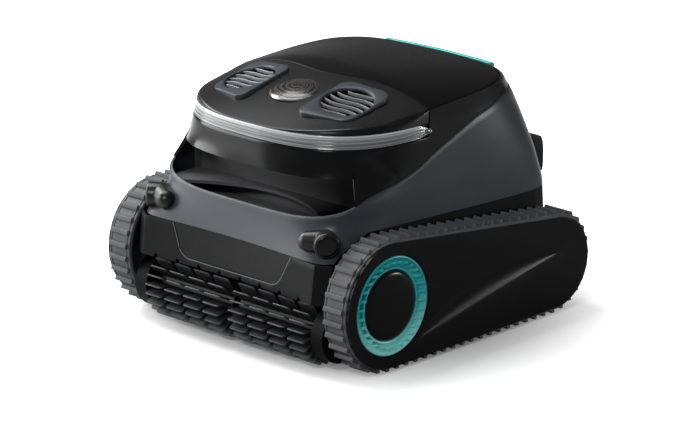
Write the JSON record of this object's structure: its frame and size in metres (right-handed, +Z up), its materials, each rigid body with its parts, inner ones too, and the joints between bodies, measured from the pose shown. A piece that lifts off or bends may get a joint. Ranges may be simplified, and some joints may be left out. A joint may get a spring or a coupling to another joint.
{
  "type": "robotic pool cleaner",
  "caption": "Tracked robotic pool cleaner with rubber belts on both sides, a finned front brush, a glossy lid over the filter basket, top jet grilles and a wrap-around light strip.",
  "frame": {"origin": "centre of the footprint on the pool floor, under the middle of the tracks", "axes": "+X to the cleaner's right side, +Y to its rear (the front with the brush faces -Y), +Z up"},
  "size_m": [0.4, 0.4354, 0.3067],
  "materials": {
    "body_satin": "satin blue grey",
    "black_gloss": "high gloss black",
    "black_matte": "fine grained matt black",
    "inner_plastic": "plain moulded",
    "tread_rubber": "moulded grey rubber",
    "brush_rubber": "matt black rubber",
    "teal_plastic": "glossy teal",
    "clear_strip": "clear, polished",
    "smoked_window": "smoked, satin",
    "lens_mirror": "mirrored dome",
    "filter_cloth": "fine woven mesh",
    "dark_mesh": "open dark mesh",
    "steel": "ground"
  },
  "bodies": {
    "body": {"chassis": "black_matte", "bottom_plate": "black_matte", "track_frame_l": "black_matte", "track_frame_r": "black_matte", "drive_case_l": "black_matte", "drive_case_r": "black_matte", "belt_l": "tread_rubber", "belt_r": "tread_rubber", "track_cover_l": "black_gloss", "track_cover_r": "black_gloss", "brush_bracket": "black_matte", "brush_guard": "black_matte", "front_panel": "black_matte", "front_window": "smoked_window", "bumper": "body_satin", "recess_tray": "body_satin", "corner_sensor_l": "black_gloss", "corner_sensor_r": "black_gloss", "sensor_lens_l": "black_gloss", "sensor_lens_r": "black_gloss", "upper_shell": "black_gloss", "rear_panel": "black_matte", "rear_hood": "black_matte", "rear_trim": "teal_plastic", "light_strip": "clear_strip", "top_panel": "black_gloss", "jet_grille_l": "body_satin", "jet_grille_r": "body_satin", "jet_mesh_l": "dark_mesh", "jet_mesh_r": "dark_mesh", "top_lens": "lens_mirror", "sensor_module": "black_matte", "hinge_pin": "steel", "pump_deck": "inner_plastic", "pump_motor_l": "inner_plastic", "pump_motor_r": "inner_plastic", "battery_pack": "inner_plastic", "filter_bay": "inner_plastic", "filter_basket": "inner_plastic", "filter_mesh": "filter_cloth", "basket_handle": "teal_plastic"},
    "drive_wheel_l": {"front_wheel_l": "inner_plastic", "wheel_ring_l": "teal_plastic", "hub_cap_l": "black_gloss"},
    "tail_wheel_l": {"rear_wheel_l": "inner_plastic"},
    "guide_wheel_l": {"idler_l": "inner_plastic"},
    "brush_l": {"brush_l": "brush_rubber"},
    "impeller_l": {"impeller_l": "inner_plastic"},
    "drive_wheel_r": {"front_wheel_r": "inner_plastic", "wheel_ring_r": "teal_plastic", "hub_cap_r": "black_gloss"},
    "tail_wheel_r": {"rear_wheel_r": "inner_plastic"},
    "guide_wheel_r": {"idler_r": "inner_plastic"},
    "brush_r": {"brush_r": "brush_rubber"},
    "impeller_r": {"impeller_r": "inner_plastic"},
    "lid": {"lid": "black_gloss", "hinge_barrel": "black_matte"},
    "intake_flap": {"intake_flap": "inner_plastic"},
    "power_button": {"power_button": "teal_plastic"},
    "charge_cap": {"charge_cap": "black_matte"}
  },
  "joints": [
    {"name": "drive_wheel_l_spin", "type": "hinge", "parent": "body", "child": "drive_wheel_l", "pos_m": [-0.178, -0.137, 0.0808], "axis": [1, 0, 0], "continuous": true},
    {"name": "tail_wheel_l_spin", "type": "hinge", "parent": "body", "child": "tail_wheel_l", "pos_m": [-0.178, 0.153, 0.0648], "axis": [1, 0, 0], "continuous": true},
    {"name": "guide_wheel_l_spin", "type": "hinge", "parent": "body", "child": "guide_wheel_l", "pos_m": [-0.178, 0.013, 0.0291], "axis": [1, 0, 0], "continuous": true},
    {"name": "brush_l_spin", "type": "hinge", "parent": "body", "child": "brush_l", "pos_m": [-0.08, -0.175, 0.045], "axis": [1, 0, 0], "continuous": true},
    {"name": "impeller_l_spin", "type": "hinge", "parent": "body", "child": "impeller_l", "pos_m": [-0.08, -0.088, 0.23], "axis": [0, 0, 1], "continuous": true},
    {"name": "drive_wheel_r_spin", "type": "hinge", "parent": "body", "child": "drive_wheel_r", "pos_m": [0.178, -0.137, 0.0808], "axis": [1, 0, 0], "continuous": true},
    {"name": "tail_wheel_r_spin", "type": "hinge", "parent": "body", "child": "tail_wheel_r", "pos_m": [0.178, 0.153, 0.0648], "axis": [1, 0, 0], "continuous": true},
    {"name": "guide_wheel_r_spin", "type": "hinge", "parent": "body", "child": "guide_wheel_r", "pos_m": [0.178, 0.013, 0.0291], "axis": [1, 0, 0], "continuous": true},
    {"name": "brush_r_spin", "type": "hinge", "parent": "body", "child": "brush_r", "pos_m": [0.08, -0.175, 0.045], "axis": [1, 0, 0], "continuous": true},
    {"name": "impeller_r_spin", "type": "hinge", "parent": "body", "child": "impeller_r", "pos_m": [0.08, -0.088, 0.23], "axis": [0, 0, 1], "continuous": true},
    {"name": "lid_hinge", "type": "hinge", "parent": "body", "child": "lid", "pos_m": [0, 0.1502, 0.2877], "axis": [-1, 0, 0], "range_deg": [0, 70]},
    {"name": "intake_flap_hinge", "type": "hinge", "parent": "body", "child": "intake_flap", "pos_m": [0, -0.015, 0.0683], "axis": [1, 0, 0], "range_deg": [0, 60]},
    {"name": "power_button_press", "type": "slide", "parent": "body", "child": "power_button", "axis": [0, -1, 0], "range_m": [0, 0.0015], "stiffness_N_per_m": 600, "springref_m": -0.001},
    {"name": "charge_cap_hinge", "type": "hinge", "parent": "body", "child": "charge_cap", "pos_m": [0.05, 0.2092, 0.121], "axis": [-1, 0, 0], "range_deg": [0, 115]}
  ],
  "couplings": [
    {"joint": "tail_wheel_l_spin", "follows": "drive_wheel_l_spin", "ratio": 1.2873},
    {"joint": "guide_wheel_l_spin", "follows": "drive_wheel_l_spin", "ratio": 3.585},
    {"joint": "brush_l_spin", "follows": "drive_wheel_l_spin", "ratio": 1.5},
    {"joint": "tail_wheel_r_spin", "follows": "drive_wheel_r_spin", "ratio": 1.2873},
    {"joint": "guide_wheel_r_spin", "follows": "drive_wheel_r_spin", "ratio": 3.585},
    {"joint": "brush_r_spin", "follows": "drive_wheel_r_spin", "ratio": 1.5}
  ]
}
